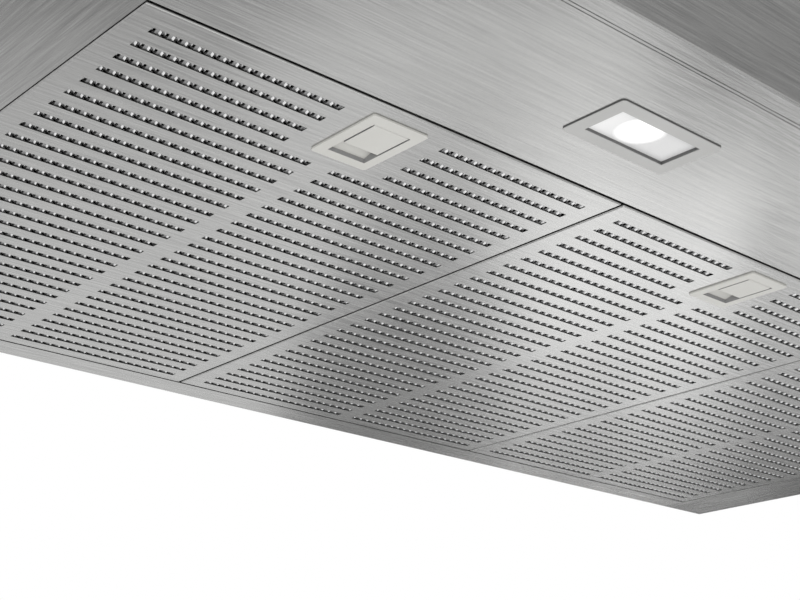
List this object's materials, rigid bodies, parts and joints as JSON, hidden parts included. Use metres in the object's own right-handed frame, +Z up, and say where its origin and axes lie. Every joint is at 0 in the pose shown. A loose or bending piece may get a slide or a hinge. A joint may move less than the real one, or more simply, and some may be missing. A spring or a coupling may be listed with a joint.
{
  "type": "wall mount range hood",
  "caption": "Flat box-canopy wall range hood with hinged slotted grease filters, lit light panel, push buttons, blower and telescoping chimney.",
  "frame": {"origin": "middle of the hood's lower rear edge, on the wall face", "axes": "+Y into the wall, +X to the right seen from the front, +Z up"},
  "size_m": [0.9, 0.5123, 0.641],
  "materials": {
    "steel": "brushed along the width",
    "zinc_sheet": "galvanised sheet",
    "mesh": "expanded metal",
    "latch": "satin moulded",
    "lamp_frame": "satin",
    "lens": "frosted",
    "lamp_housing": "die cast",
    "led_board": "gloss",
    "control_frame": "gloss",
    "button": "satin",
    "circuit_board": "matte",
    "black_plastic": "matte",
    "white_plastic": "satin",
    "scroll": "moulded",
    "impeller": "moulded",
    "damper": "moulded",
    "motor": "satin",
    "shaft": "ground",
    "screw": "zinc plated"
  },
  "bodies": {
    "hood": {"canopy_top": "steel", "canopy_back": "steel", "canopy_side_left": "steel", "canopy_side_right": "steel", "front_panel": "steel", "light_panel": "steel", "chimney_lower": "steel", "fan_box_left": "zinc_sheet", "fan_box_right": "zinc_sheet", "fan_box_front": "zinc_sheet", "fan_box_back": "zinc_sheet", "fan_box_top": "zinc_sheet", "lamp_bezel_left": "lamp_frame", "lamp_bezel_right": "lamp_frame", "lamp_lens_left": "lens", "lamp_lens_right": "lens", "lamp_body_left": "lamp_housing", "lamp_body_right": "lamp_housing", "lamp_led_left": "led_board", "lamp_led_right": "led_board", "control_bezel": "control_frame", "control_board": "circuit_board", "control_housing": "black_plastic", "cable_gland": "black_plastic", "outlet_collar": "black_plastic", "junction_box": "black_plastic", "terminal_block": "white_plastic", "scroll_wrap": "scroll", "scroll_side_left": "scroll", "scroll_side_right": "scroll", "motor": "motor", "chimney_screws": "screw", "collar_screws": "screw"},
    "filter_left": {"filter_face_left": "steel", "filter_mesh_left": "mesh", "filter_back_left": "zinc_sheet", "latch_bezel_left": "latch"},
    "filter_middle": {"filter_face_middle": "steel", "filter_mesh_middle": "mesh", "filter_back_middle": "zinc_sheet", "latch_bezel_middle": "latch"},
    "filter_right": {"filter_face_right": "steel", "filter_mesh_right": "mesh", "filter_back_right": "zinc_sheet", "latch_bezel_right": "latch"},
    "latch_left": {"latch_paddle_left": "latch"},
    "latch_middle": {"latch_paddle_middle": "latch"},
    "latch_right": {"latch_paddle_right": "latch"},
    "button_off": {"button_off": "button"},
    "button_low": {"button_low": "button"},
    "button_medium": {"button_medium": "button"},
    "button_high": {"button_high": "button"},
    "button_light": {"button_light": "button"},
    "impeller": {"impeller": "impeller", "motor_shaft": "shaft"},
    "damper_front": {"damper_flap_front": "damper"},
    "damper_rear": {"damper_flap_rear": "damper"},
    "chimney_upper": {"chimney_upper": "steel", "chimney_bracket": "zinc_sheet"}
  },
  "joints": [
    {"name": "filter_left_hinge", "type": "hinge", "parent": "hood", "child": "filter_left", "pos_m": [-0.265, -0.0208, 0.0013], "axis": [1, 0, 0], "range_deg": [0, 60]},
    {"name": "filter_middle_hinge", "type": "hinge", "parent": "hood", "child": "filter_middle", "pos_m": [0, -0.0208, 0.0013], "axis": [1, 0, 0], "range_deg": [0, 60]},
    {"name": "filter_right_hinge", "type": "hinge", "parent": "hood", "child": "filter_right", "pos_m": [0.265, -0.0208, 0.0013], "axis": [1, 0, 0], "range_deg": [0, 60]},
    {"name": "latch_left_pivot", "type": "hinge", "parent": "filter_left", "child": "latch_left", "pos_m": [-0.265, -0.37995, 0.0008], "axis": [-1, 0, 0], "range_deg": [0, 30], "stiffness_Nm_per_rad": 0.05, "springref_deg": -17.19},
    {"name": "latch_middle_pivot", "type": "hinge", "parent": "filter_middle", "child": "latch_middle", "pos_m": [0, -0.37995, 0.0008], "axis": [-1, 0, 0], "range_deg": [0, 30], "stiffness_Nm_per_rad": 0.05, "springref_deg": -17.19},
    {"name": "latch_right_pivot", "type": "hinge", "parent": "filter_right", "child": "latch_right", "pos_m": [0.265, -0.37995, 0.0008], "axis": [-1, 0, 0], "range_deg": [0, 30], "stiffness_Nm_per_rad": 0.05, "springref_deg": -17.19},
    {"name": "button_off_press", "type": "slide", "parent": "hood", "child": "button_off", "axis": [0, 1, 0], "range_m": [0, 0.0018], "stiffness_N_per_m": 500, "springref_m": -0.002},
    {"name": "button_low_press", "type": "slide", "parent": "hood", "child": "button_low", "axis": [0, 1, 0], "range_m": [0, 0.0018], "stiffness_N_per_m": 500, "springref_m": -0.002},
    {"name": "button_medium_press", "type": "slide", "parent": "hood", "child": "button_medium", "axis": [0, 1, 0], "range_m": [0, 0.0018], "stiffness_N_per_m": 500, "springref_m": -0.002},
    {"name": "button_high_press", "type": "slide", "parent": "hood", "child": "button_high", "axis": [0, 1, 0], "range_m": [0, 0.0018], "stiffness_N_per_m": 500, "springref_m": -0.002},
    {"name": "button_light_press", "type": "slide", "parent": "hood", "child": "button_light", "axis": [0, 1, 0], "range_m": [0, 0.0018], "stiffness_N_per_m": 500, "springref_m": -0.002},
    {"name": "impeller_spin", "type": "hinge", "parent": "hood", "child": "impeller", "pos_m": [0, -0.128, 0.205], "axis": [1, 0, 0], "continuous": true},
    {"name": "damper_front_hinge", "type": "hinge", "parent": "hood", "child": "damper_front", "pos_m": [0, -0.174, 0.371], "axis": [-1, 0, 0], "range_deg": [0, 80]},
    {"name": "damper_rear_hinge", "type": "hinge", "parent": "hood", "child": "damper_rear", "pos_m": [0, -0.168, 0.371], "axis": [1, 0, 0], "range_deg": [0, 80]},
    {"name": "chimney_slide", "type": "slide", "parent": "hood", "child": "chimney_upper", "axis": [0, 0, 1], "range_m": [0, 0.3]}
  ]
}
